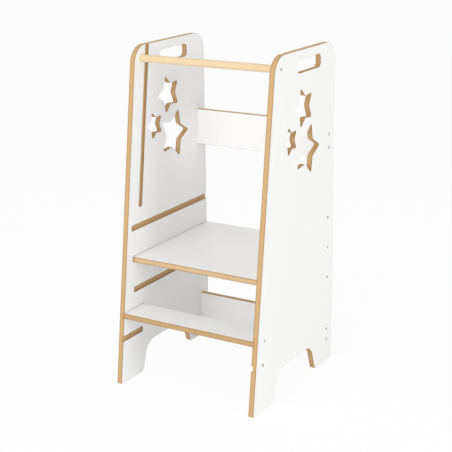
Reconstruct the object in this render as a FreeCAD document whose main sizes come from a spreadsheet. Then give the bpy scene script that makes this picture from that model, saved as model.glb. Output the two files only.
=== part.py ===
import FreeCAD, Part
import math
import os

import Sketcher
from FreeCAD import Vector

# Toddler kitchen helper stool: two slotted side panels of coated board, a platform and a step that
# slide in grooves, a backrest, a lower rail, a round safety bar, and the screws that hold them.
# Millimetres. Origin on the floor in the middle of the footprint: X to the right-hand panel, Y from
# the step side (front) to the backrest side (back), Z up.

ACROSS = Vector(1, 0, 0)            # from the left-hand panel to the right-hand one

doc = FreeCAD.newDocument("toddler_helper_stool")

# Every size that can be set by itself. Lengths are in millimetres; levels and turns are counts.
SIZES = {
    # whole stool
    "overall_height": 900,
    "overall_width": 425,
    "overall_depth": 450,
    "front_lean": 120,              # the front edges lean back this far over the full height
    "board_thickness": 15,
    "edge_easing": 1,
    # outline of a side panel
    "top_corner_radius": 50,
    "toe_radius": 3,
    "foot_corner_radius": 10,
    "arch_height": 80,
    "arch_base_width": 244,
    "arch_top_width": 190,
    "arch_corner_radius": 45,
    # hand slot, placed from the top and back edges
    "slot_length": 130,
    "slot_height": 34,
    "slot_corner_radius": 12,
    "slot_below_top": 23.5,
    "slot_centre_from_back": 154,
    # stars, placed from the top and back edges; a radius reaches to the point before it is rounded
    "star_waist": 0.53,             # radius of the inner corners as a share of the points' radius
    "star_point_radius": 4,
    "star_notch_radius": 10,
    "upper_star_radius": 54,
    "upper_star_below_top": 148,
    "upper_star_from_back": 182,
    "small_star_radius": 39.5,
    "small_star_below_top": 221.5,
    "small_star_from_back": 253.5,
    "large_star_radius": 70,
    "large_star_below_top": 262,
    "large_star_from_back": 160,
    # grooves in the inner faces
    "groove_depth": 5,
    "groove_play": 1,               # a groove is this much wider than the board it takes
    "groove_corner_radius": 3,
    "end_play": 0.5,                # gap between a board's end and the bottom of its groove
    "stop_gap": 0.3,                # gap between a board and the rounded corners of a groove's end
    "infill_groove_setback": 53,    # middle of the upright groove, behind the front edge
    "infill_groove_bottom": 472,
    # platform
    "platform_levels": 3,
    "platform_level_used": 2,       # counted from the lowest
    "platform_lowest_level": 242,   # underside of the board in the lowest groove
    "platform_level_spacing": 86,
    "platform_groove_front": 73,    # closed end of the grooves, behind the front feet
    # step
    "step_levels": 2,
    "step_level_used": 2,
    "step_lowest_level": 118,
    "step_level_spacing": 64,
    "step_groove_reach": 90,        # closed end of a groove, behind the leaning front edge
    "step_screw_setback": 35,
    # boards across the back, and the line of screws they share with the platform levels
    "back_line_inset": 33,
    "backrest_height": 100,
    "backrest_centre_below_top": 264.5,
    "backrest_screw_spacing": 36,
    "rail_height": 105,
    "rail_centre_above_floor": 79.5,
    "rail_screw_spacing": 32,
    # safety bar
    "bar_diameter": 20,
    "bar_below_top": 34,
    "bar_setback": 31,              # middle of the bar, behind the leaning front edge
    "bar_seat_depth": 5,
    "bar_seat_clearance": 0.1,
    "bar_end_chamfer": 1,
    # screws
    "screw_clearance": 0.1,         # all round a screw in its hole
    "screw_point_length": 1.2,
    # connector screws, which join boards for good
    "connector_length": 50,
    "connector_diameter": 7,
    "connector_head_diameter": 10,
    "connector_socket_width": 4,
    "connector_socket_depth": 2,
    "connector_thread_depth": 0.9,
    "connector_pitch": 3,
    "connector_turns": 10,
    "pilot_hole_spare": 2,          # a pilot hole is this much deeper than its screw
    # lock screws, which clamp the ends of the platform and the step
    "lock_screw_diameter": 5,
    "lock_screw_head_diameter": 8,
    "lock_screw_socket_width": 3,
    "lock_screw_socket_depth": 1.4,
    "lock_screw_thread_depth": 0.6,
    "lock_screw_pitch": 1.8,
    "lock_screw_turns": 3,
}

sheet = doc.addObject("Spreadsheet::Sheet", "Sizes")
for row, (alias, number) in enumerate(SIZES.items(), start=1):
    sheet.set(f"A{row}", alias)
    sheet.set(f"B{row}", str(number))
    sheet.setAlias(f"B{row}", alias)
doc.recompute()

# Sizes that follow from the others. A name in square brackets stands for its cell in the sheet.
GROOVE_WIDTH = "([board_thickness] + [groove_play])"
WEB = "([board_thickness] - [groove_depth])"
INNER_WIDTH = "([overall_width] - 2 * [board_thickness])"
GROOVED_BOARD_LENGTH = f"({INNER_WIDTH} + 2 * ([groove_depth] - [end_play]))"
BAR_LENGTH = f"({INNER_WIDTH} + 2 * [bar_seat_depth])"
BACK_EDGE = "([overall_depth] / 2)"
FRONT_FOOT = "(-[overall_depth] / 2)"
BACK_LINE = f"({BACK_EDGE} - [back_line_inset])"
BAR_HEIGHT = "([overall_height] - [bar_below_top])"
BACKREST_CENTRE = "([overall_height] - [backrest_centre_below_top])"
RAIL_CENTRE = "[rail_centre_above_floor]"
BOARD_STOP = "([groove_corner_radius] + [stop_gap])"
CONNECTOR_BORE = "([connector_diameter] + 2 * [screw_clearance])"
CONNECTOR_SINK = "([connector_head_diameter] + 2 * [screw_clearance])"
LOCK_BORE = "([lock_screw_diameter] + 2 * [screw_clearance])"
LOCK_SINK = "([lock_screw_head_diameter] + 2 * [screw_clearance])"


def front_edge(height):
    """Y of the leaning front edge at a height."""
    return f"([front_lean] * ({height}) / [overall_height] + {FRONT_FOOT})"


def level(board, number):
    """Underside of a board in one of its grooves, counted from the lowest."""
    return f"([{board}_lowest_level] + ({number} - 1) * [{board}_level_spacing])"


def middle_of_groove(board, number):
    return f"({level(board, number)} + {GROOVE_WIDTH} / 2)"


def behind_front(board, number, distance):
    """Y of a place behind the front edge, at the mid-height of a groove."""
    return f"({front_edge(middle_of_groove(board, number))} + {distance})"


BAR_LINE = f"({front_edge(BAR_HEIGHT)} + [bar_setback])"
PLATFORM_GROOVE_END = f"({FRONT_FOOT} + [platform_groove_front])"
PLATFORM_FRONT = f"({PLATFORM_GROOVE_END} + {BOARD_STOP})"
PLATFORM_LEVEL = level("platform", "[platform_level_used]")
STEP_LEVEL = level("step", "[step_level_used]")
STEP_FRONT = front_edge(f"{STEP_LEVEL} + [board_thickness]")
STEP_GROOVE_END = behind_front("step", "[step_level_used]", "[step_groove_reach]")
STEP_BACK = f"({STEP_GROOVE_END} - {BOARD_STOP})"
STEP_SCREW_LINE = behind_front("step", "[step_level_used]", "[step_screw_setback]")


def in_sheet(text):
    return text.replace("[", "Sizes.").replace("]", "")


def value(text):
    return float(sheet.evalExpression(in_sheet(text)))


def bind(item, size, text):
    item.setExpression(size, in_sheet(text))


def own(body, role):
    """The body's own origin plane or axis."""
    return next(part for part in body.Origin.OriginFeatures if part.Role == role)


def new_body(label, x="0", y="0", z="0"):
    body = doc.addObject("PartDesign::Body", label)
    body.Label = label
    for axis, place in (("x", x), ("y", y), ("z", z)):
        bind(body, f"Placement.Base.{axis}", place)
    return body


def new_sketch(body, name, plane, across="0", up="0", out="0", turn="0"):
    """Sketch in one of the body's own planes, moved in that plane and out of it, and turned."""
    sketch = body.newObject("Sketcher::SketchObject", name)
    sketch.AttachmentSupport = [(own(body, plane), "")]
    sketch.MapMode = "FlatFace"
    for axis, place in (("x", across), ("y", up), ("z", out)):
        bind(sketch, f"AttachmentOffset.Base.{axis}", place)
    bind(sketch, "AttachmentOffset.Rotation.Angle", turn)
    return sketch


def hold(sketch, constraint, name, text):
    """Add a sized constraint and drive it from the sheet."""
    sketch.renameConstraint(sketch.addConstraint(constraint), name)
    bind(sketch, f"Constraints.{name}", text)


def hold_point(sketch, name, geometry, end, across, up):
    """Hold a point at its distances from the sketch's origin."""
    for kind, text in (("DistanceX", across), ("DistanceY", up)):
        constraint = Sketcher.Constraint(kind, -1, 1, geometry, end, value(text))
        hold(sketch, constraint, f"{name}_{kind[-1]}", text)


def corner_arc(corner, back, ahead, size):
    """Where a rounded corner begins and ends, its arc, and which end of the arc comes first."""
    half_angle = back.getAngle(ahead) / 2
    begin = corner + back * (size / math.tan(half_angle))
    end = corner + ahead * (size / math.tan(half_angle))
    centre = corner + (back + ahead).normalize() * (size / math.sin(half_angle))
    turns_left = back.cross(ahead).z < 0
    ends = (begin, end) if turns_left else (end, begin)
    angles = [math.atan2(point.y - centre.y, point.x - centre.x) for point in ends]
    circle = Part.Circle(centre, Vector(0, 0, 1), size)
    return begin, end, Part.ArcOfCircle(circle, *angles), 1 if turns_left else 2


def draw_outline(sketch, corners):
    """Closed outline through corners (across, up, radius), anticlockwise; None is a sharp corner."""
    points = [Vector(value(across), value(up), 0) for across, up, radius in corners]
    begins, ends, arcs = [], [], []
    for i, (across, up, radius) in enumerate(corners):
        begin, end, arc = points[i], points[i], None
        if radius is not None:
            back = (points[i - 1] - points[i]).normalize()
            ahead = (points[(i + 1) % len(points)] - points[i]).normalize()
            begin, end, *arc = corner_arc(points[i], back, ahead, value(radius))
        begins.append(begin)
        ends.append(end)
        arcs.append(arc)
    sides = []
    for i, end in enumerate(ends):
        side = Part.LineSegment(end, begins[(i + 1) % len(begins)])
        sides.append(sketch.addGeometry(side, False))
    for i, (across, up, radius) in enumerate(corners):
        name = f"corner{i + 1}"
        if radius is None:
            sketch.addConstraint(Sketcher.Constraint("Coincident", sides[i - 1], 2, sides[i], 1))
            hold_point(sketch, name, sides[i], 1, across, up)
            continue
        curve, first = arcs[i]
        arc = sketch.addGeometry(curve, False)
        mark = sketch.addGeometry(Part.Point(points[i]), True)
        sketch.addConstraint([
            Sketcher.Constraint("Tangent", sides[i - 1], 2, arc, first),
            Sketcher.Constraint("Tangent", arc, 3 - first, sides[i], 1),
            Sketcher.Constraint("PointOnObject", mark, 1, sides[i - 1]),
            Sketcher.Constraint("PointOnObject", mark, 1, sides[i]),
        ])
        hold(sketch, Sketcher.Constraint("Radius", arc, value(radius)), f"{name}_radius", radius)
        hold_point(sketch, name, mark, 1, across, up)


def draw_circle(sketch, name, diameter, across="0", up="0"):
    centre = Vector(value(across), value(up), 0)
    ring = sketch.addGeometry(Part.Circle(centre, Vector(0, 0, 1), value(diameter) / 2), False)
    constraint = Sketcher.Constraint("Diameter", ring, value(diameter))
    hold(sketch, constraint, f"{name}_diameter", diameter)
    hold_point(sketch, name, ring, 3, across, up)


def centred(length, height, radius=None):
    """Corners of a rectangle about the sketch's origin."""
    half, rise = f"({length} / 2)", f"({height} / 2)"
    return [(f"-{half}", f"-{rise}", radius), (half, f"-{rise}", radius),
            (half, rise, radius), (f"-{half}", rise, radius)]


def finish(body, feature, grows):
    """Make a feature the body's last, and see that it adds or removes material as it should."""
    before = 0 if body.Shape.isNull() else body.Shape.Volume
    body.Tip = feature
    doc.recompute()
    change = body.Shape.Volume - before
    if change == 0 or (change > 0) != grows:
        raise ValueError(f"{body.Label}: {feature.Name} changes the volume by {change:.3f}")
    return feature


def pad(body, name, sketch, length, reverse=False, both_ways=False):
    feature = body.newObject("PartDesign::Pad", name)
    feature.Profile = sketch
    feature.Reversed = reverse
    feature.Midplane = both_ways
    bind(feature, "Length", length)
    return finish(body, feature, grows=True)


def pocket(body, name, sketch, depth, reverse=False):
    feature = body.newObject("PartDesign::Pocket", name)
    feature.Profile = sketch
    feature.Reversed = reverse
    bind(feature, "Length", depth)
    return finish(body, feature, grows=False)


def drill(body, name, sketch, bore, depth=None, head=None, reverse=False):
    """Round holes at a sketch's circles: blind, or right through with a countersink for a head."""
    doc.recompute()
    feature = body.newObject("PartDesign::Hole", name)
    feature.Profile = sketch
    feature.Reversed = reverse
    feature.ThreadType = "None"
    feature.DrillPoint = "Flat"
    bind(feature, "Diameter", bore)
    if depth is None:
        feature.DepthType = "ThroughAll"
    else:
        bind(feature, "Depth", depth)
    if head is not None:
        feature.HoleCutType = "Countersink"
        feature.HoleCutCustomValues = True
        feature.HoleCutCountersinkAngle = 90
        bind(feature, "HoleCutDiameter", head)
    return finish(body, feature, grows=False)


def flat_faces(shape, axis):
    """Names of the flat faces that look along an axis, either way."""
    return [f"Face{number}" for number, face in enumerate(shape.Faces, start=1)
            if isinstance(face.Surface, Part.Plane) and abs(face.Surface.Axis.dot(axis)) > 0.999]


def straight_edges(shape, axis):
    """Names of the straight edges that run along an axis."""
    return [f"Edge{number}" for number, edge in enumerate(shape.Edges, start=1)
            if isinstance(edge.Curve, Part.Line) and abs(edge.Curve.Direction.dot(axis)) > 0.999]


def ease(body, feature, parts):
    """Round over the named edges, or every edge of the named faces."""
    rounding = body.newObject("PartDesign::Fillet", "eased_edges")
    rounding.Base = (feature, parts)
    bind(rounding, "Radius", "[edge_easing]")
    return finish(body, rounding, grows=False)


def star(radius, first_angle):
    """Corners of a five-pointed star about the sketch's origin."""
    corners = []
    for i in range(10):
        reach, rounding = radius, "[star_point_radius]"
        if i % 2:
            reach, rounding = f"{radius} * [star_waist]", "[star_notch_radius]"
        angle = first_angle + 36 * i
        corners.append((f"{reach} * cos({angle})", f"{reach} * sin({angle})", rounding))
    return corners


def side_panel(label, side):
    """One side panel, its own origin in its inner face; side is 1 for the right, -1 for the left."""
    right = side == 1
    body = new_body(label, x=f"{side} * {INNER_WIDTH} / 2")

    def inner(name, across="0", up="0", turn="0"):
        return new_sketch(body, name, "YZ_Plane", across, up, "0", turn)

    def outer(name, across="0", up="0"):
        return new_sketch(body, name, "YZ_Plane", across, up, f"{side} * [board_thickness]")

    outline = inner("outline")
    draw_outline(outline, [
        (FRONT_FOOT, "0", "[toe_radius]"),
        ("-[arch_base_width] / 2", "0", "[foot_corner_radius]"),
        ("-[arch_top_width] / 2", "[arch_height]", "[arch_corner_radius]"),
        ("[arch_top_width] / 2", "[arch_height]", "[arch_corner_radius]"),
        ("[arch_base_width] / 2", "0", "[foot_corner_radius]"),
        (BACK_EDGE, "0", "[toe_radius]"),
        (BACK_EDGE, "[overall_height]", "[top_corner_radius]"),
        (front_edge("[overall_height]"), "[overall_height]", "[top_corner_radius]"),
    ])
    pad(body, "board", outline, "[board_thickness]", reverse=not right)

    hand_slot = inner("hand_slot_outline", f"{BACK_EDGE} - [slot_centre_from_back]",
                      "[overall_height] - [slot_below_top] - [slot_height] / 2")
    draw_outline(hand_slot, centred("[slot_length]", "[slot_height]", "[slot_corner_radius]"))
    pocket(body, "hand_slot", hand_slot, "[board_thickness]", reverse=right)
    for size, first_angle in (("upper", 180), ("small", 180), ("large", 0)):
        cutout = inner(f"{size}_star_outline", f"{BACK_EDGE} - [{size}_star_from_back]",
                       f"[overall_height] - [{size}_star_below_top]")
        draw_outline(cutout, star(f"[{size}_star_radius]", first_angle))
        last_cutout = pocket(body, f"{size}_star", cutout, "[board_thickness]", reverse=right)
    ease(body, last_cutout, flat_faces(last_cutout.Shape, ACROSS))

    # Grooves run out past the edge they are open at.
    platform_groove = inner("platform_groove_outline", up=level("platform", 1))
    runout = f"({BACK_EDGE} + {GROOVE_WIDTH})"
    draw_outline(platform_groove, [
        (PLATFORM_GROOVE_END, "0", "[groove_corner_radius]"),
        (runout, "0", None),
        (runout, GROOVE_WIDTH, None),
        (PLATFORM_GROOVE_END, GROOVE_WIDTH, "[groove_corner_radius]"),
    ])
    lowest = pocket(body, "platform_groove", platform_groove, "[groove_depth]", reverse=right)
    grooves = body.newObject("PartDesign::LinearPattern", "platform_grooves")
    grooves.Originals = [lowest]
    grooves.Direction = (own(body, "Z_Axis"), [""])
    grooves.Mode = "Spacing"
    bind(grooves, "Offset", "[platform_level_spacing]")
    bind(grooves, "Occurrences", "[platform_levels]")
    finish(body, grooves, grows=False)

    for number in range(1, SIZES["step_levels"] + 1):
        step_groove = inner(f"step_groove_outline{number}", up=level("step", number))
        runout = behind_front("step", number, f"-{GROOVE_WIDTH}")
        end = behind_front("step", number, "[step_groove_reach]")
        draw_outline(step_groove, [
            (runout, "0", None),
            (end, "0", "[groove_corner_radius]"),
            (end, GROOVE_WIDTH, "[groove_corner_radius]"),
            (runout, GROOVE_WIDTH, None),
        ])
        pocket(body, f"step_groove{number}", step_groove, "[groove_depth]", reverse=right)

    infill_groove = inner(
        "infill_groove_outline",
        f"{front_edge('[infill_groove_bottom]')} + [infill_groove_setback]",
        "[infill_groove_bottom]",
        turn="-atan([front_lean] / [overall_height])")
    half_groove = f"({GROOVE_WIDTH} / 2)"
    cutter_radius = f"({half_groove} - [end_play])"
    draw_outline(infill_groove, [
        (f"-{half_groove}", "0", cutter_radius),
        (half_groove, "0", cutter_radius),
        (half_groove, "[overall_height] - [infill_groove_bottom] + [front_lean]", None),
        (f"-{half_groove}", "[overall_height] - [infill_groove_bottom] + [front_lean]", None),
    ])
    pocket(body, "infill_groove", infill_groove, "[groove_depth]", reverse=right)

    bar_seat = inner("bar_seat_outline", BAR_LINE, BAR_HEIGHT)
    draw_circle(bar_seat, "seat", "[bar_diameter] + 2 * [bar_seat_clearance]")
    pocket(body, "bar_seat", bar_seat, "[bar_seat_depth]", reverse=right)

    connector_holes = outer("connector_hole_centres")
    for name, centre in (("backrest", BACKREST_CENTRE), ("rail", RAIL_CENTRE)):
        for end, shift in (("low", "-"), ("high", "+")):
            draw_circle(connector_holes, f"{name}_{end}", CONNECTOR_BORE, BACK_LINE,
                        f"{centre} {shift} [{name}_screw_spacing] / 2")
    draw_circle(connector_holes, "bar", CONNECTOR_BORE, BAR_LINE, BAR_HEIGHT)
    drill(body, "connector_holes", connector_holes, CONNECTOR_BORE, head=CONNECTOR_SINK,
          reverse=not right)

    lock_holes = outer("lock_hole_centres")
    for number in range(1, SIZES["platform_levels"] + 1):
        draw_circle(lock_holes, f"platform{number}", LOCK_BORE, BACK_LINE,
                    middle_of_groove("platform", number))
    for number in range(1, SIZES["step_levels"] + 1):
        draw_circle(lock_holes, f"step{number}", LOCK_BORE,
                    behind_front("step", number, "[step_screw_setback]"),
                    middle_of_groove("step", number))
    drill(body, "lock_holes", lock_holes, LOCK_BORE, head=LOCK_SINK, reverse=not right)
    return body


def grooved_board(label, height, front, back):
    """A level board whose ends sit in the side panels' grooves."""
    body = new_body(label, z=height)
    outline = new_sketch(body, "outline", "XY_Plane")
    half = f"({GROOVED_BOARD_LENGTH} / 2)"
    draw_outline(outline, [(f"-{half}", front, None), (half, front, None),
                           (half, back, None), (f"-{half}", back, None)])
    board = pad(body, "board", outline, "[board_thickness]")
    ease(body, board, straight_edges(board.Shape, ACROSS))
    return body


def drill_ends(body, length, heights, depth):
    """Blind pilot holes in both ends of a piece that lies across the stool."""
    centres = new_sketch(body, "pilot_hole_centres", "YZ_Plane", out=f"{length} / 2")
    for number, height in enumerate(heights, start=1):
        draw_circle(centres, f"pilot{number}", CONNECTOR_BORE, up=height)
    right_end = drill(body, "pilot_holes", centres, CONNECTOR_BORE, depth)
    both_ends = body.newObject("PartDesign::Mirrored", "mirrored_pilot_holes")
    both_ends.Originals = [right_end]
    both_ends.MirrorPlane = (own(body, "YZ_Plane"), [""])
    finish(body, both_ends, grows=False)


def upright_board(label, centre, height, screw_spacing):
    """A board on edge between the side panels, screwed through them."""
    body = new_body(label, y=BACK_LINE, z=centre)
    outline = new_sketch(body, "outline", "XZ_Plane")
    draw_outline(outline, centred(INNER_WIDTH, height))
    board = pad(body, "board", outline, "[board_thickness]", both_ways=True)
    ease(body, board, straight_edges(board.Shape, ACROSS))
    depth = "[connector_length] - [board_thickness] + [pilot_hole_spare]"
    drill_ends(body, INNER_WIDTH, (f"-{screw_spacing} / 2", f"{screw_spacing} / 2"), depth)
    return body


def round_bar(label):
    body = new_body(label, y=BAR_LINE, z=BAR_HEIGHT)
    section = new_sketch(body, "section", "YZ_Plane")
    draw_circle(section, "bar", "[bar_diameter]")
    bar = pad(body, "bar", section, BAR_LENGTH, both_ways=True)
    chamfer = body.newObject("PartDesign::Chamfer", "end_chamfers")
    chamfer.Base = (bar, flat_faces(bar.Shape, ACROSS))
    bind(chamfer, "Size", "[bar_end_chamfer]")
    finish(body, chamfer, grows=False)
    depth = "[connector_length] - [board_thickness] + [bar_seat_depth] + [pilot_hole_spare]"
    drill_ends(body, BAR_LENGTH, ("0",), depth)
    return body


def screws(label, y, z, kind, length, plain, spacing=None):
    """Screws through both side panels: one a side, or two a side at a spacing, one above the other.

    The right-hand one is turned about its axis, x running in from the outer face.
    """
    body = new_body(label, y=y, z=z)
    outside = "[overall_width] / 2"
    half = f"([{kind}_diameter] / 2)"
    core = f"({half} - [{kind}_thread_depth])"
    head = f"([{kind}_head_diameter] / 2)"
    pitch = f"[{kind}_pitch]"
    if spacing is not None:
        body_height = f"-{spacing} / 2"
    else:
        body_height = "0"

    shank = new_sketch(body, "shank_profile", "XZ_Plane", outside, body_height, turn="180")
    draw_outline(shank, [
        ("0", "0", None),
        (length, "0", None),
        (length, f"{core} - [screw_point_length]", None),
        (f"{length} - [screw_point_length]", core, None),
        (plain, core, None),
        (plain, half, None),
        (f"{head} - {half}", half, None),
        ("0", head, None),
    ])
    turned = body.newObject("PartDesign::Revolution", "shank")
    turned.Profile = shank
    turned.ReferenceAxis = (shank, ["H_Axis"])
    turned.Angle = 360
    finish(body, turned, grows=True)

    ridge = new_sketch(body, "thread_profile", "XZ_Plane", outside, body_height, turn="180")
    ridge_middle = f"({plain} + {pitch} / 2)"
    buried = f"({core} - [{kind}_thread_depth] / 2)"
    draw_outline(ridge, [
        (f"{ridge_middle} - {pitch} / 3", buried, None),
        (f"{ridge_middle} + {pitch} / 3", buried, None),
        (ridge_middle, half, None),
    ])
    turn = body.newObject("PartDesign::Revolution", "thread_turn")
    turn.Profile = ridge
    turn.ReferenceAxis = (ridge, ["H_Axis"])
    turn.Angle = 360
    finish(body, turn, grows=True)
    thread = body.newObject("PartDesign::LinearPattern", "thread")
    thread.Originals = [turn]
    thread.Direction = (own(body, "X_Axis"), [""])
    thread.Reversed = True
    thread.Mode = "Spacing"
    bind(thread, "Offset", pitch)
    bind(thread, "Occurrences", f"[{kind}_turns]")
    finish(body, thread, grows=True)

    socket = new_sketch(body, "socket_outline", "YZ_Plane", "0", body_height, outside)
    corner_reach = f"[{kind}_socket_width] / (2 * cos(30))"
    draw_outline(socket, [(f"{corner_reach} * cos({60 * i})", f"{corner_reach} * sin({60 * i})", None)
                          for i in range(6)])
    pocket(body, "socket", socket, f"[{kind}_socket_depth]")

    steps = []
    group = body.newObject("PartDesign::MultiTransform", "all_screws")
    if spacing is not None:
        pair = body.newObject("PartDesign::LinearPattern", "upper_screw")
        pair.Direction = (own(body, "Z_Axis"), [""])
        pair.Mode = "Spacing"
        bind(pair, "Offset", spacing)
        pair.Occurrences = 2
        steps.append(pair)
    left_side = body.newObject("PartDesign::Mirrored", "left_side")
    left_side.MirrorPlane = (own(body, "YZ_Plane"), [""])
    steps.append(left_side)
    group.Transformations = steps
    group.TransformMode = "Whole shape"
    finish(body, group, grows=True)
    return body


CONNECTOR = ("connector", "[connector_length]", "[board_thickness]")
LOCK = ("lock_screw", WEB, f"{WEB} / 3")

bodies = [
    side_panel("side_panel_left", -1),
    side_panel("side_panel_right", 1),
    grooved_board("platform", PLATFORM_LEVEL, PLATFORM_FRONT, BACK_EDGE),
    grooved_board("step", STEP_LEVEL, STEP_FRONT, STEP_BACK),
    upright_board("backrest", BACKREST_CENTRE, "[backrest_height]", "[backrest_screw_spacing]"),
    upright_board("lower_rail", RAIL_CENTRE, "[rail_height]", "[rail_screw_spacing]"),
    round_bar("front_bar"),
    screws("bar_screws", BAR_LINE, BAR_HEIGHT, *CONNECTOR),
    screws("backrest_screws", BACK_LINE, BACKREST_CENTRE, *CONNECTOR,
           spacing="[backrest_screw_spacing]"),
    screws("lower_rail_screws", BACK_LINE, RAIL_CENTRE, *CONNECTOR, spacing="[rail_screw_spacing]"),
    screws("platform_lock_screws", BACK_LINE,
           middle_of_groove("platform", "[platform_level_used]"), *LOCK),
    screws("step_lock_screws", STEP_SCREW_LINE,
           middle_of_groove("step", "[step_level_used]"), *LOCK),
]

doc.recompute()
for item in doc.Objects:
    if "Invalid" in item.State or "Error" in item.State:
        raise ValueError(f"{item.Name} did not rebuild: {item.State}")

os.makedirs("parts", exist_ok=True)
for body in bodies:
    shape = body.Shape
    if shape.isNull() or not shape.isValid():
        raise ValueError(f"{body.Label} has no sound shape")
    shape.exportStep(f"parts/{body.Label}.step")
    box = shape.BoundBox
    print(f"{body.Label}: {len(shape.Solids)} solid(s), {shape.Volume / 1000:.1f} cm3, "
          f"x {box.XMin:.1f} to {box.XMax:.1f}, y {box.YMin:.1f} to {box.YMax:.1f}, "
          f"z {box.ZMin:.1f} to {box.ZMax:.1f}")
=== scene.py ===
import math

import bmesh
import bpy
from mathutils import Matrix, Vector


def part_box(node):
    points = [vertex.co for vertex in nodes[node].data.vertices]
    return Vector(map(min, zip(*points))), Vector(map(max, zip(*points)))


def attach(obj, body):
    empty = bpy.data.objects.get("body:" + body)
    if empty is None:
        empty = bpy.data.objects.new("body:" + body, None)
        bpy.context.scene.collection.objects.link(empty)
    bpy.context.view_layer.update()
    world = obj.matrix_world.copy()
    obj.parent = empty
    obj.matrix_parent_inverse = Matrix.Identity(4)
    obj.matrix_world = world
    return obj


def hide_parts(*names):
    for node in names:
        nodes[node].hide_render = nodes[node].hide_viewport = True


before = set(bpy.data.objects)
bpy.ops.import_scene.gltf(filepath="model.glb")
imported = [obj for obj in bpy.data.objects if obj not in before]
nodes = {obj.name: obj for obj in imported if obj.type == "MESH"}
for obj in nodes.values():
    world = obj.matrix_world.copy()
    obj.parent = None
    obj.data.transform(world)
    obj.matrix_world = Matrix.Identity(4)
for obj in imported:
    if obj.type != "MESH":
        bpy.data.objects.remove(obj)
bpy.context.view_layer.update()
mm = 0.001
noiseLow, noiseHigh = 0.3, 0.7      # nearly all values of a noise texture lie between these
print("frame loaded:", len(nodes), "nodes")


def linearColour(hexCode):
    # sRGB hex to the linear values that sockets hold
    channels = [int(hexCode[i:i + 2], 16) / 255 for i in (0, 2, 4)]
    return [c / 12.92 if c < 0.04045 else ((c + 0.055) / 1.055) ** 2.4 for c in channels] + [1]


def addNode(tree, kind, inputs=None, **settings):
    # one node, its settings, and its inputs as plain values or as links from other sockets
    node = tree.nodes.new(kind)
    for name, value in settings.items():
        setattr(node, name, value)
    for key, value in (inputs or {}).items():
        if isinstance(value, bpy.types.NodeSocket):
            tree.links.new(value, node.inputs[key])
        else:
            node.inputs[key].default_value = value
    return node


def newMaterial(name):
    material = bpy.data.materials.new(name)
    material.use_nodes = True
    material.node_tree.nodes.clear()
    return material, material.node_tree


# The boards: white faces, with every edge, groove and cut-out routed through to the core.
board = {
    "coatColour": "F6F6F5",
    "coatDepth": 0.12 * mm,         # coat and its resin line, seen on the eased edge
    "coatChip": 0.10 * mm,          # how far the cutter has nibbled that line
    "chipsPerMm": 0.9,
    "coatRoughness": 0.42,
    "roughnessSpread": 0.05,        # duller and shinier patches, from handling
    "patchesPerMetre": 9.0,
    "coatGrain": 1.6 * mm,          # the fine pearl of the press plate, drawn a little coarse
    "coatRelief": 0.012 * mm,
    "coreColour": "CCA775",         # the loose middle of the board
    "platformCoreWithPaintedLight": "D5B489",       # painted light: the platform's core is made paler than the panels', and painted shade: the step's core is made browner
    "stepCoreWithPaintedShade": "C29E6F",           # and the step from a browner one
    "skinColour": "A27B4B",         # the dense outer layers, pressed harder and browner
    "skinStart": 0.4 * mm,          # between these two depths the skin gives way to the core
    "skinDepth": 3.2 * mm,
    "fleckColour": "9C7444",
    "fleckFrom": 0.52,              # how rare the flecks are, and where they are darkest
    "fleckFull": 0.72,
    "fleckStrength": 0.5,
    "fibreLength": 2.2 * mm,        # real fibres are about 2 mm long and too thin to show
    "cutterPitch": 1.3 * mm,        # spacing of the cutter's marks along an edge
    "markSqueeze": 0.12,            # the marks run from face to face
    "coreRelief": 0.12 * mm,
    "coreRoughness": 0.78,
    "reliefStrength": 0.8,
    "ior": 1.5,
}
coatedBoards = {                    # the axis across each board, and the colour of its core
    # the platform's core carries painted light and the step's core carries painted shade
    "platform": (2, "platformCoreWithPaintedLight"),
    "step": (2, "stepCoreWithPaintedShade"),
    "backrest": (1, "coreColour"),
    "lower_rail": (1, "coreColour"),
}


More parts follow.
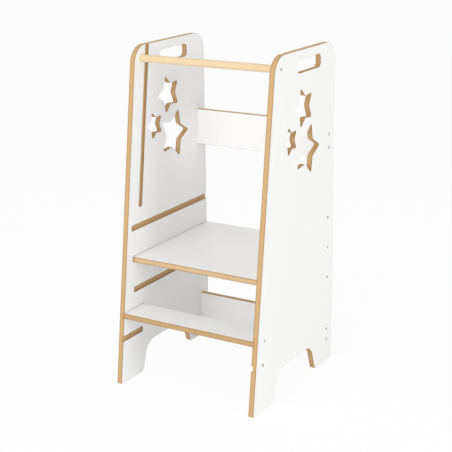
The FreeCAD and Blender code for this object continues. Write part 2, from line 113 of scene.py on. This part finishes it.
def makeBoardMaterial(name, axis, faces, core="coreColour", mirrored=False):
    # Melamine-faced fibreboard: pressed white foil gives a smooth satin face, and the routed core
    # shows as a matt tan band, browner towards both faces and flecked with short fibres.
    # The two are told apart by depth below the faces, so grooves and cut-outs come out bare too.
    material, tree = newMaterial(name)
    place = addNode(tree, "ShaderNodeTexCoord").outputs["Object"]
    across = addNode(tree, "ShaderNodeSeparateXYZ", {0: place}).outputs[axis]
    if mirrored:
        across = addNode(tree, "ShaderNodeMath", {0: across}, operation="ABSOLUTE").outputs[0]
    depths = []
    for face in faces:
        below = addNode(tree, "ShaderNodeMath", {0: across, 1: face}, operation="SUBTRACT")
        depths.append(addNode(tree, "ShaderNodeMath", {0: below.outputs[0]}, operation="ABSOLUTE"))
    depth = addNode(tree, "ShaderNodeMath", {0: depths[0].outputs[0], 1: depths[1].outputs[0]},
                    operation="MINIMUM").outputs[0]

    chips = addNode(tree, "ShaderNodeTexNoise", {
        "Vector": place, "Scale": board["chipsPerMm"] / mm, "Detail": 3.0})
    coatEdge = addNode(tree, "ShaderNodeMapRange", {
        "Value": chips.outputs[0], "From Min": noiseLow, "From Max": noiseHigh,
        "To Min": board["coatDepth"] - board["coatChip"] / 2,
        "To Max": board["coatDepth"] + board["coatChip"] / 2})
    bare = addNode(tree, "ShaderNodeMath", {0: depth, 1: coatEdge.outputs[0]},
                   operation="GREATER_THAN").outputs[0]

    squeeze = [1.0, 1.0, 1.0]
    squeeze[axis] = board["markSqueeze"]
    alongEdge = addNode(tree, "ShaderNodeMapping", {"Vector": place, "Scale": squeeze})
    cutterMarks = addNode(tree, "ShaderNodeTexNoise", {
        "Vector": alongEdge.outputs[0], "Scale": 1 / board["cutterPitch"], "Detail": 1.0})
    fibres = addNode(tree, "ShaderNodeTexNoise", {
        "Vector": place, "Scale": 1 / board["fibreLength"], "Detail": 6.0, "Roughness": 0.7,
        "Distortion": 1.2})
    coreShare = addNode(tree, "ShaderNodeMapRange", {
        "Value": depth, "From Min": board["skinStart"], "From Max": board["skinDepth"]},
        interpolation_type="SMOOTHSTEP")
    layered = addNode(tree, "ShaderNodeMix", {
        "Factor": coreShare.outputs[0], 6: linearColour(board["skinColour"]),
        7: linearColour(board[core])}, data_type="RGBA")
    fleckAmount = addNode(tree, "ShaderNodeMapRange", {
        "Value": fibres.outputs[0], "From Min": board["fleckFrom"], "From Max": board["fleckFull"],
        "To Max": board["fleckStrength"]})
    flecked = addNode(tree, "ShaderNodeMix", {
        "Factor": fleckAmount.outputs[0], 6: layered.outputs[2],
        7: linearColour(board["fleckColour"])}, data_type="RGBA")
    colour = addNode(tree, "ShaderNodeMix", {
        "Factor": bare, 6: linearColour(board["coatColour"]), 7: flecked.outputs[2]},
        data_type="RGBA")

    handling = addNode(tree, "ShaderNodeTexNoise", {
        "Vector": place, "Scale": board["patchesPerMetre"], "Detail": 3.0})
    coatRoughness = addNode(tree, "ShaderNodeMapRange", {
        "Value": handling.outputs[0], "From Min": noiseLow, "From Max": noiseHigh,
        "To Min": board["coatRoughness"] - board["roughnessSpread"],
        "To Max": board["coatRoughness"] + board["roughnessSpread"]})
    roughness = addNode(tree, "ShaderNodeMix", {
        "Factor": bare, 2: coatRoughness.outputs[0], 3: board["coreRoughness"]})

    pearl = addNode(tree, "ShaderNodeTexNoise", {
        "Vector": place, "Scale": 1 / board["coatGrain"], "Detail": 2.0})
    pearlHeight = addNode(tree, "ShaderNodeMath", {0: pearl.outputs[0], 1: board["coatRelief"]},
                          operation="MULTIPLY")
    fuzz = addNode(tree, "ShaderNodeMath", {0: cutterMarks.outputs[0], 1: fibres.outputs[0]},
                   operation="ADD")
    fuzzHeight = addNode(tree, "ShaderNodeMath", {0: fuzz.outputs[0], 1: board["coreRelief"]},
                         operation="MULTIPLY")
    height = addNode(tree, "ShaderNodeMix", {
        "Factor": bare, 2: pearlHeight.outputs[0], 3: fuzzHeight.outputs[0]})
    bump = addNode(tree, "ShaderNodeBump", {
        "Height": height.outputs[0], "Distance": 1.0, "Strength": board["reliefStrength"]})
    shader = addNode(tree, "ShaderNodeBsdfPrincipled", {
        "Base Color": colour.outputs[2], "Roughness": roughness.outputs[0],
        "Normal": bump.outputs[0], "IOR": board["ior"]})
    addNode(tree, "ShaderNodeOutputMaterial", {"Surface": shader.outputs[0]})
    return material


def facesOf(node, axis):
    low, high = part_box(node)
    return low[axis], high[axis]


def dressNode(name, material):
    slots = nodes[name].data.materials
    slots.clear()
    slots.append(material)


panelFinish = makeBoardMaterial("melamineFacedPanel", 0, facesOf("side_panel_right", 0),
                                mirrored=True)
for name in ("side_panel_left", "side_panel_right"):
    dressNode(name, panelFinish)
for name, (axis, core) in coatedBoards.items():
    dressNode(name, makeBoardMaterial("melamineFaced_" + name, axis, facesOf(name, axis), core))
print("boards finished")


bar = {
    "paleColour": "EED8B0",
    "darkColour": "DEC193",
    "poreColour": "BE9768",
    "pithOffset": (0.0, 31 * mm, 46 * mm),     # the dowel was sawn from outside the heart
    "ringSpacing": 2.4 * mm,
    "ringSqueeze": 0.06,                       # how far rings, fibres and rays are drawn out
    "ringWander": 1.6,
    "fibreWidth": 0.7 * mm,                    # real fibres are finer than the picture shows
    "fibreSqueeze": 0.03,
    "fibreShare": 0.45,                        # of the grain's light and dark, the rest is rings
    "rayLength": 3 * mm,
    "raySqueeze": 0.22,
    "rayFrom": 0.64,                           # how rare the rays are, and where they are darkest
    "rayFull": 0.74,
    "rayStrength": 0.55,
    "relief": 0.03 * mm,
    "reliefStrength": 0.6,
    "roughness": 0.46,
    "lacquer": 0.25,
    "lacquerRoughness": 0.3,
    "ior": 1.5,
}


def makeBarMaterial():
    # Beech dowel, turned and sanded, one thin coat of clear lacquer: pale straight grain in long
    # stripes where the growth rings run out, with short darker ray flecks and a soft sheen.
    material, tree = newMaterial("lacqueredBeech")
    place = addNode(tree, "ShaderNodeTexCoord").outputs["Object"]
    low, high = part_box("front_bar")
    middle = (low + high) / 2
    centred = addNode(tree, "ShaderNodeMapping", {
        "Vector": place, "Location": [-m + p for m, p in zip(middle, bar["pithOffset"])]})
    drawnOut = {}
    for part in ("ring", "fibre", "ray"):
        drawnOut[part] = addNode(tree, "ShaderNodeMapping", {
            "Vector": centred.outputs[0], "Scale": (bar[part + "Squeeze"], 1, 1)}).outputs[0]
    # at a scale of 1, a wave texture's rings are tau / 20 apart
    rings = addNode(tree, "ShaderNodeTexWave", {
        "Vector": drawnOut["ring"], "Scale": math.tau / 20 / bar["ringSpacing"],
        "Distortion": bar["ringWander"], "Detail": 2.0, "Detail Scale": 0.4},
        wave_type="RINGS", rings_direction="X", wave_profile="SAW")
    fibres = addNode(tree, "ShaderNodeTexNoise", {
        "Vector": drawnOut["fibre"], "Scale": 1 / bar["fibreWidth"], "Detail": 4.0})
    rays = addNode(tree, "ShaderNodeTexNoise", {
        "Vector": drawnOut["ray"], "Scale": 3 / bar["rayLength"], "Detail": 1.0})
    grain = addNode(tree, "ShaderNodeMix", {
        "Factor": bar["fibreShare"], 2: rings.outputs["Fac"], 3: fibres.outputs[0]})
    wood = addNode(tree, "ShaderNodeMix", {
        "Factor": grain.outputs[0], 6: linearColour(bar["paleColour"]),
        7: linearColour(bar["darkColour"])}, data_type="RGBA")
    rayAmount = addNode(tree, "ShaderNodeMapRange", {
        "Value": rays.outputs[0], "From Min": bar["rayFrom"], "From Max": bar["rayFull"],
        "To Max": bar["rayStrength"]})
    colour = addNode(tree, "ShaderNodeMix", {
        "Factor": rayAmount.outputs[0], 6: wood.outputs[2],
        7: linearColour(bar["poreColour"])}, data_type="RGBA")
    height = addNode(tree, "ShaderNodeMath", {0: fibres.outputs[0], 1: bar["relief"]},
                     operation="MULTIPLY")
    bump = addNode(tree, "ShaderNodeBump", {
        "Height": height.outputs[0], "Distance": 1.0, "Strength": bar["reliefStrength"]})
    shader = addNode(tree, "ShaderNodeBsdfPrincipled", {
        "Base Color": colour.outputs[2], "Roughness": bar["roughness"], "IOR": bar["ior"],
        "Coat Weight": bar["lacquer"], "Coat Roughness": bar["lacquerRoughness"],
        "Normal": bump.outputs[0]})
    addNode(tree, "ShaderNodeOutputMaterial", {"Surface": shader.outputs[0]})
    return material


dressNode("front_bar", makeBarMaterial())
print("bar finished")


# The screws: long ones that join the boards, and short ones that lock the platform and the step.
connector = {
    "length": 50 * mm, "headRadius": 5 * mm, "neckRadius": 3.5 * mm, "coreRadius": 2.6 * mm,
    "plainLength": 15 * mm, "pitch": 3 * mm, "socketWidth": 4 * mm, "socketDepth": 2 * mm,
    "pointLength": 4 * mm,
}
lock = {
    "length": 10 * mm, "headRadius": 4 * mm, "neckRadius": 2.5 * mm, "coreRadius": 1.9 * mm,
    "plainLength": 3.3 * mm, "pitch": 1.8 * mm, "socketWidth": 3 * mm, "socketDepth": 1.4 * mm,
    "pointLength": 1.2 * mm,
}
turning = {                         # what both kinds have in common
    "around": 36,                   # points round the screw
    "perTurn": 8,                   # steps along each turn of the thread
    "dimpleDepth": 0.5 * mm,        # the drill's mark at the bottom of the socket
    "dimpleRadius": 0.3 * mm,
    "mouthDepth": 0.15 * mm,        # the socket's sloped mouth
    "mouthFlare": 0.3 * mm,
    "rimEasing": 0.25 * mm,         # the eased rim of the head, highest a little below its face
    "rimDepth": 0.08 * mm,
    "rimWorn": 0.05 * mm,
    "neckRelief": 0.4 * mm,         # from the plain neck to the first thread
    "crestReach": 0.28,             # from a thread's crest to its foot, as a share of the pitch
    "runOut": 0.35,                 # height of the thread at its end
    "tipRadius": 0.5 * mm,
    "tipSpare": 0.1 * mm,
    "smoothUnder": 32,              # degrees between faces that are shaded as one
}
plating = {
    "brightColour": "D6D9DB",
    "dullColour": "BFC3C5",
    "tarnishSize": 2 * mm,
    "turningPitch": 0.35 * mm,      # rings that the tool left, drawn coarse
    "ringRelief": 0.008 * mm,
    "reliefStrength": 0.6,
    "smoothest": 0.34,
    "roughest": 0.50,
}
screwSets = {                       # kind, how many in each panel, and their spacing
    "bar_screws": (connector, 1, 0.0),
    "backrest_screws": (connector, 2, 36 * mm),
    "lower_rail_screws": (connector, 2, 32 * mm),
    "platform_lock_screws": (lock, 1, 0.0),
    "step_lock_screws": (lock, 1, 0.0),
}


def makeScrewMesh(name, size):
    # countersunk screw, its head's face at the origin and its point along -X
    around = turning["around"]
    head, neck, core = size["headRadius"], size["neckRadius"], size["coreRadius"]
    pitch, threadStart = size["pitch"], size["plainLength"]
    threadEnd = size["length"] - size["pointLength"]
    mesh = bpy.data.meshes.new(name)
    bm = bmesh.new()
    fromAxis = bm.verts.layers.float.new("fromAxis")

    def ring(x, radiusAt):
        verts = []
        for i in range(around):
            angle = math.tau * i / around
            radius = radiusAt(angle)
            vert = bm.verts.new((-x, radius * math.cos(angle), radius * math.sin(angle)))
            vert[fromAxis] = radius
            verts.append(vert)
        return verts

    def hexagon(width):
        sixth = math.pi / 3
        return lambda angle: width / 2 / math.cos((angle + sixth / 2) % sixth - sixth / 2)

    def threaded(x):
        def radiusAt(angle):
            turn = (x - threadStart) / pitch - angle / math.tau
            crest = 1 - abs((turn % 1) - 0.5) / turning["crestReach"]
            fade = min(1, (x - threadStart) / pitch, (threadEnd - x) / pitch + turning["runOut"])
            return core + (neck - core) * max(0, crest) * max(0, fade)
        return radiusAt

    socket, bottom = size["socketWidth"], size["socketDepth"]
    rings = [
        ring(bottom + turning["dimpleDepth"], lambda a: turning["dimpleRadius"]),
        ring(bottom, hexagon(socket)),
        ring(turning["mouthDepth"], hexagon(socket)),
        ring(0.0, hexagon(socket + turning["mouthFlare"])),
        ring(0.0, lambda a: head - turning["rimEasing"]),
        ring(turning["rimDepth"], lambda a: head - turning["rimWorn"]),
        ring(turning["rimEasing"], lambda a: head - turning["rimEasing"]),
        ring(head - neck, lambda a: neck),
        ring(threadStart - turning["neckRelief"], lambda a: neck),
    ]
    steps = round((threadEnd - threadStart) / pitch * turning["perTurn"])
    for i in range(steps + 1):
        x = threadStart + (threadEnd - threadStart) * i / steps
        rings.append(ring(x, threaded(x)))
    rings.append(ring(size["length"] - turning["tipSpare"], lambda a: turning["tipRadius"]))
    for first, second in zip(rings, rings[1:]):
        for i in range(around):
            j = (i + 1) % around
            bm.faces.new((first[i], first[j], second[j], second[i]))
    bm.faces.new(rings[0])
    bm.faces.new(rings[-1])
    bmesh.ops.recalc_face_normals(bm, faces=bm.faces)
    for face in bm.faces:
        face.smooth = True
    for edge in bm.edges:
        edge.smooth = edge.calc_face_angle(0) < math.radians(turning["smoothUnder"])
    bm.to_mesh(mesh)
    bm.free()
    return mesh


def makeScrewMaterial():
    # Zinc-plated steel, turned and then barrel plated: grey, softly bright, with fine rings on the
    # head left by the tool.
    material, tree = newMaterial("zincPlatedSteel")
    radius = addNode(tree, "ShaderNodeAttribute", attribute_name="fromAxis").outputs["Fac"]
    phase = addNode(tree, "ShaderNodeMath", {0: radius, 1: math.tau / plating["turningPitch"]},
                    operation="MULTIPLY")
    rings = addNode(tree, "ShaderNodeMath", {0: phase.outputs[0]}, operation="SINE")
    place = addNode(tree, "ShaderNodeTexCoord").outputs["Object"]
    tarnish = addNode(tree, "ShaderNodeTexNoise", {
        "Vector": place, "Scale": 1 / plating["tarnishSize"], "Detail": 3.0})
    roughness = addNode(tree, "ShaderNodeMapRange", {
        "Value": tarnish.outputs[0], "From Min": noiseLow, "From Max": noiseHigh,
        "To Min": plating["smoothest"], "To Max": plating["roughest"]})
    colour = addNode(tree, "ShaderNodeMix", {
        "Factor": tarnish.outputs[0], 6: linearColour(plating["brightColour"]),
        7: linearColour(plating["dullColour"])}, data_type="RGBA")
    height = addNode(tree, "ShaderNodeMath", {0: rings.outputs[0], 1: plating["ringRelief"]},
                     operation="MULTIPLY")
    bump = addNode(tree, "ShaderNodeBump", {
        "Height": height.outputs[0], "Distance": 1.0, "Strength": plating["reliefStrength"]})
    shader = addNode(tree, "ShaderNodeBsdfPrincipled", {
        "Base Color": colour.outputs[2], "Metallic": 1.0, "Roughness": roughness.outputs[0],
        "Normal": bump.outputs[0]})
    addNode(tree, "ShaderNodeOutputMaterial", {"Surface": shader.outputs[0]})
    return material


def makeScrewTree():
    # a column of screws in each side panel, the left ones turned round to face outwards
    tree = bpy.data.node_groups.new("panelScrews", "GeometryNodeTree")
    sockets = {}
    for name, kind in (("Screw", "NodeSocketObject"), ("Rows", "NodeSocketInt"),
                       ("Row Spacing", "NodeSocketFloat"), ("Half Width", "NodeSocketFloat"),
                       ("Across", "NodeSocketFloat"), ("Lowest", "NodeSocketFloat"),
                       ("Finish", "NodeSocketMaterial")):
        socket = tree.interface.new_socket(name, in_out="INPUT", socket_type=kind)
        sockets[name] = socket.identifier
    tree.interface.new_socket("Geometry", in_out="OUTPUT", socket_type="NodeSocketGeometry")
    inputs = addNode(tree, "NodeGroupInput").outputs
    screw = addNode(tree, "GeometryNodeObjectInfo", {"Object": inputs["Screw"]})
    upward = addNode(tree, "ShaderNodeCombineXYZ", {"Z": inputs["Row Spacing"]})
    sides = []
    for sign, turn in ((1.0, 0.0), (-1.0, math.pi)):
        reach = addNode(tree, "ShaderNodeMath", {0: inputs["Half Width"], 1: sign},
                        operation="MULTIPLY")
        start = addNode(tree, "ShaderNodeCombineXYZ", {
            "X": reach.outputs[0], "Y": inputs["Across"], "Z": inputs["Lowest"]})
        column = addNode(tree, "GeometryNodeMeshLine", {
            "Count": inputs["Rows"], "Start Location": start.outputs[0],
            "Offset": upward.outputs[0]}, mode="OFFSET")
        placed = addNode(tree, "GeometryNodeInstanceOnPoints", {
            "Points": column.outputs[0], "Instance": screw.outputs["Geometry"],
            "Rotation": (0, 0, turn)})
        sides.append(placed.outputs[0])
    joined = addNode(tree, "GeometryNodeJoinGeometry", {0: sides[0]})
    tree.links.new(sides[1], joined.inputs[0])
    real = addNode(tree, "GeometryNodeRealizeInstances", {0: joined.outputs[0]})
    finished = addNode(tree, "GeometryNodeSetMaterial", {
        "Geometry": real.outputs[0], "Material": inputs["Finish"]})
    addNode(tree, "NodeGroupOutput", {0: finished.outputs[0]})
    return tree, sockets


def makeScrewSet(nodeName, size, rows, spacing, tree, sockets, finish):
    low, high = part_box(nodeName)
    middle = (low + high) / 2
    helper = bpy.data.objects.new("helper", makeScrewMesh("screw", size))
    bpy.context.collection.objects.link(helper)
    carrier = bpy.data.objects.new("carrier", bpy.data.meshes.new("carrier"))
    bpy.context.collection.objects.link(carrier)
    modifier = carrier.modifiers.new("panelScrews", "NODES")
    modifier.node_group = tree
    values = {
        "Screw": helper, "Rows": rows, "Row Spacing": spacing, "Half Width": high.x,
        "Across": middle.y, "Lowest": middle.z - spacing * (rows - 1) / 2, "Finish": finish,
    }
    for name, value in values.items():
        modifier[sockets[name]] = value
    evaluated = carrier.evaluated_get(bpy.context.evaluated_depsgraph_get())
    mesh = bpy.data.meshes.new_from_object(evaluated)
    mesh.name = nodeName + "_turned"
    piece = bpy.data.objects.new(nodeName + "_turned", mesh)
    bpy.context.collection.objects.link(piece)
    for spare in (carrier, helper):
        bpy.data.objects.remove(spare)
    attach(piece, "frame")
    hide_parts(nodeName)


screwFinish = makeScrewMaterial()
screwTree, screwSockets = makeScrewTree()
for name, (size, rows, spacing) in screwSets.items():
    makeScrewSet(name, size, rows, spacing, screwTree, screwSockets, screwFinish)
print("screws set")


studio = {
    "floorColour": "FDFDFD",
    "floorGlow": 0.92,              # share of the white that is its own, to the camera and in gloss
    "floorReach": 30.0,
    "floorDrop": 0.2 * mm,          # keeps the floor just clear of the feet
    "skyStrength": 0.63,
    "aim": (0.0, 0.0, 0.45),        # what the lamps point at, and how far away they stand
    "lampReach": 4.0,
}
# soft boxes: bearing from the right-hand side and height above level in degrees, width in
# metres, and watts
lamps = {
    "frontHigh": (-90, 60, 2.4, 28),
    "frontLow": (-90, 10, 2.4, 48),
    "right": (-12, 12, 1.2, 34),
}
camera = {
    "place": (1.505, -2.486, 1.317),
    "turn": 31.13, "tilt": 17.19, "roll": -0.76,     # degrees
    "lens": 90.4, "sensor": 36.0,
}


def seenDirectly(tree):
    # 1 for rays that come straight from the camera or by way of metal or glass
    path = addNode(tree, "ShaderNodeLightPath").outputs
    glossy = addNode(tree, "ShaderNodeMath", {
        0: path["Is Glossy Ray"], 1: path["Is Transmission Ray"]}, operation="MAXIMUM")
    return addNode(tree, "ShaderNodeMath", {0: path["Is Camera Ray"], 1: glossy.outputs[0]},
                   operation="MAXIMUM").outputs[0]


def makeFloor():
    # Matt white paint, whose own glow keeps it white to the camera and leaves the shadow faint.
    material, tree = newMaterial("paintedFloor")
    matt = addNode(tree, "ShaderNodeBsdfDiffuse", {"Color": linearColour(studio["floorColour"])})
    glow = addNode(tree, "ShaderNodeEmission", {"Color": (1, 1, 1, 1), "Strength": 1.0})
    share = addNode(tree, "ShaderNodeMath", {0: seenDirectly(tree), 1: studio["floorGlow"]},
                    operation="MULTIPLY")
    mixed = addNode(tree, "ShaderNodeMixShader", {
        0: share.outputs[0], 1: matt.outputs[0], 2: glow.outputs[0]})
    addNode(tree, "ShaderNodeOutputMaterial", {"Surface": mixed.outputs[0]})
    reach, drop = studio["floorReach"], studio["floorDrop"]
    corners = [(-reach, -reach), (reach, -reach), (reach, reach), (-reach, reach)]
    mesh = bpy.data.meshes.new("floor")
    mesh.from_pydata([(x, y, -drop) for x, y in corners], [], [(0, 1, 2, 3)])
    mesh.materials.append(material)
    floor = bpy.data.objects.new("floor", mesh)
    bpy.context.collection.objects.link(floor)


def makeWorld():
    world = bpy.data.worlds.new("studio")
    bpy.context.scene.world = world
    world.use_nodes = True
    tree = world.node_tree
    tree.nodes.clear()
    strength = addNode(tree, "ShaderNodeMapRange", {
        "Value": seenDirectly(tree), "To Min": studio["skyStrength"], "To Max": 1.0})
    sky = addNode(tree, "ShaderNodeBackground", {
        "Color": (1, 1, 1, 1), "Strength": strength.outputs[0]})
    addNode(tree, "ShaderNodeOutputWorld", {"Surface": sky.outputs[0]})


def makeLamp(name, bearing, rise, width, power):
    lamp = bpy.data.lights.new(name, "AREA")
    lamp.size = width
    lamp.energy = power
    bearing, rise = math.radians(bearing), math.radians(rise)
    outward = Vector((math.cos(bearing) * math.cos(rise), math.sin(bearing) * math.cos(rise),
                      math.sin(rise)))
    item = bpy.data.objects.new(name, lamp)
    item.location = Vector(studio["aim"]) + outward * studio["lampReach"]
    item.rotation_euler = (-outward).to_track_quat("-Z", "Y").to_euler()
    item.visible_camera = False
    bpy.context.collection.objects.link(item)


def makeCamera():
    turn, tilt, roll = (math.radians(camera[k]) for k in ("turn", "tilt", "roll"))
    forward = Vector((-math.sin(turn) * math.cos(tilt), math.cos(turn) * math.cos(tilt),
                      -math.sin(tilt)))
    level = Vector((math.cos(turn), math.sin(turn), 0))
    above = level.cross(forward)
    across = math.cos(roll) * level + math.sin(roll) * above
    upward = -math.sin(roll) * level + math.cos(roll) * above
    lens = bpy.data.cameras.new("camera")
    lens.lens = camera["lens"]
    lens.sensor_width = camera["sensor"]
    item = bpy.data.objects.new("camera", lens)
    turned = Matrix((across, upward, -forward)).transposed().to_4x4()
    item.matrix_world = Matrix.Translation(camera["place"]) @ turned
    bpy.context.collection.objects.link(item)
    bpy.context.scene.camera = item


makeFloor()
makeWorld()
for name, (bearing, rise, width, power) in lamps.items():
    makeLamp(name, bearing, rise, width, power)
makeCamera()
bpy.context.scene.view_settings.view_transform = "Standard"
print("studio set")
